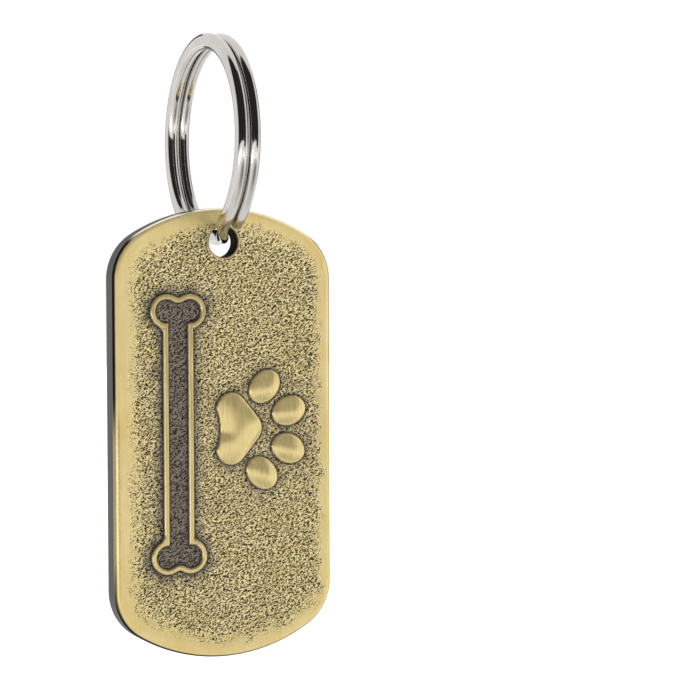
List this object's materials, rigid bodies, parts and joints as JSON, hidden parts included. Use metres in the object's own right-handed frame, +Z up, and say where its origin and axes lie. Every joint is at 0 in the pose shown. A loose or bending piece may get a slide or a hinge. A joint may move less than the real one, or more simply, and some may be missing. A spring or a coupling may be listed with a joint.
{
  "type": "pet id tag",
  "caption": "Oblong antique-brass pet ID tag with rounded ends, a raised rim and a raised paw print, hanging from a nickel split ring that hooks it to a collar.",
  "frame": {"origin": "middle of the split ring's eye", "axes": "+Z up with the tag hanging straight down, the tag's front with the paw print faces -Y, +X to the right of the front, which is also the axis of the split ring"},
  "size_m": [0.0258, 0.0234, 0.0692],
  "materials": {
    "antique_brass": "antiqued: brushed high places, dark sand-textured field",
    "bright_nickel": "polished nickel plate"
  },
  "bodies": {
    "ring": {"split_ring": "bright_nickel"},
    "tag": {"tag_plate": "antique_brass"}
  },
  "joints": [
    {"name": "tag_swing", "type": "hinge", "parent": "ring", "child": "tag", "pos_m": [0.00096, 0, -0.0113], "axis": [0, 1, 0], "range_deg": [-140, 135]}
  ]
}
